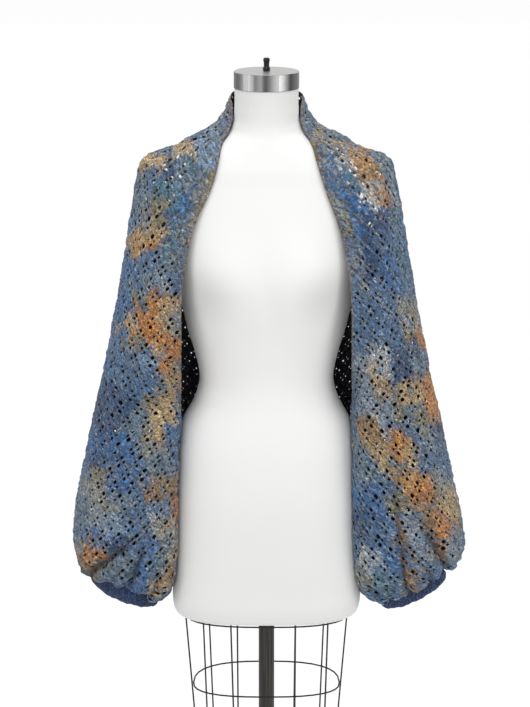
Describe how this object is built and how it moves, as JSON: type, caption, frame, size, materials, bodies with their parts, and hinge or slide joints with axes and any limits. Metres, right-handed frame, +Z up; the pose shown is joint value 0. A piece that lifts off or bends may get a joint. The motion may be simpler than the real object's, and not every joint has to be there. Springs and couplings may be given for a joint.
{
  "type": "knitted shrug on a dress form",
  "caption": "Open-front lace-knit shrug with balloon sleeves gathered into ribbed cuffs, worn by a limbless dress form on a pole stand with a wire skirt cage and a round base.",
  "frame": {"origin": "centre of the base's underside, on the floor under the pole", "axes": "+Z up; the front of the form faces -Y; +X is to the right as seen from the front"},
  "size_m": [0.6942, 0.38, 1.6228],
  "materials": {
    "lace_knit": "space-dyed blue, teal, tan and orange yarn, matt and slightly hairy",
    "cuff_rib": "navy ribbed knit, matt",
    "form_cover": "taut white jersey, matt",
    "cap_steel": "brushed",
    "knob_black": "black, slightly glossy",
    "stand_gunmetal": "dark brushed lacquered steel",
    "cage_black": "black satin"
  },
  "bodies": {
    "root": {"shrug_body": "lace_knit", "sleeve_left": "lace_knit", "sleeve_right": "lace_knit", "cuff_left": "cuff_rib", "cuff_right": "cuff_rib", "torso": "form_cover", "neck_cap": "cap_steel", "cap_knob": "knob_black", "pole": "stand_gunmetal", "base_collar": "stand_gunmetal", "base_disc": "stand_gunmetal", "cage_wire_1": "cage_black", "cage_wire_2": "cage_black", "cage_wire_3": "cage_black", "cage_wire_4": "cage_black", "cage_wire_5": "cage_black", "cage_wire_6": "cage_black", "cage_wire_7": "cage_black", "cage_wire_8": "cage_black", "cage_wire_9": "cage_black", "cage_wire_10": "cage_black", "cage_ring_top": "cage_black", "cage_ring_middle": "cage_black", "cage_ring_bottom": "cage_black"}
  },
  "joints": []
}
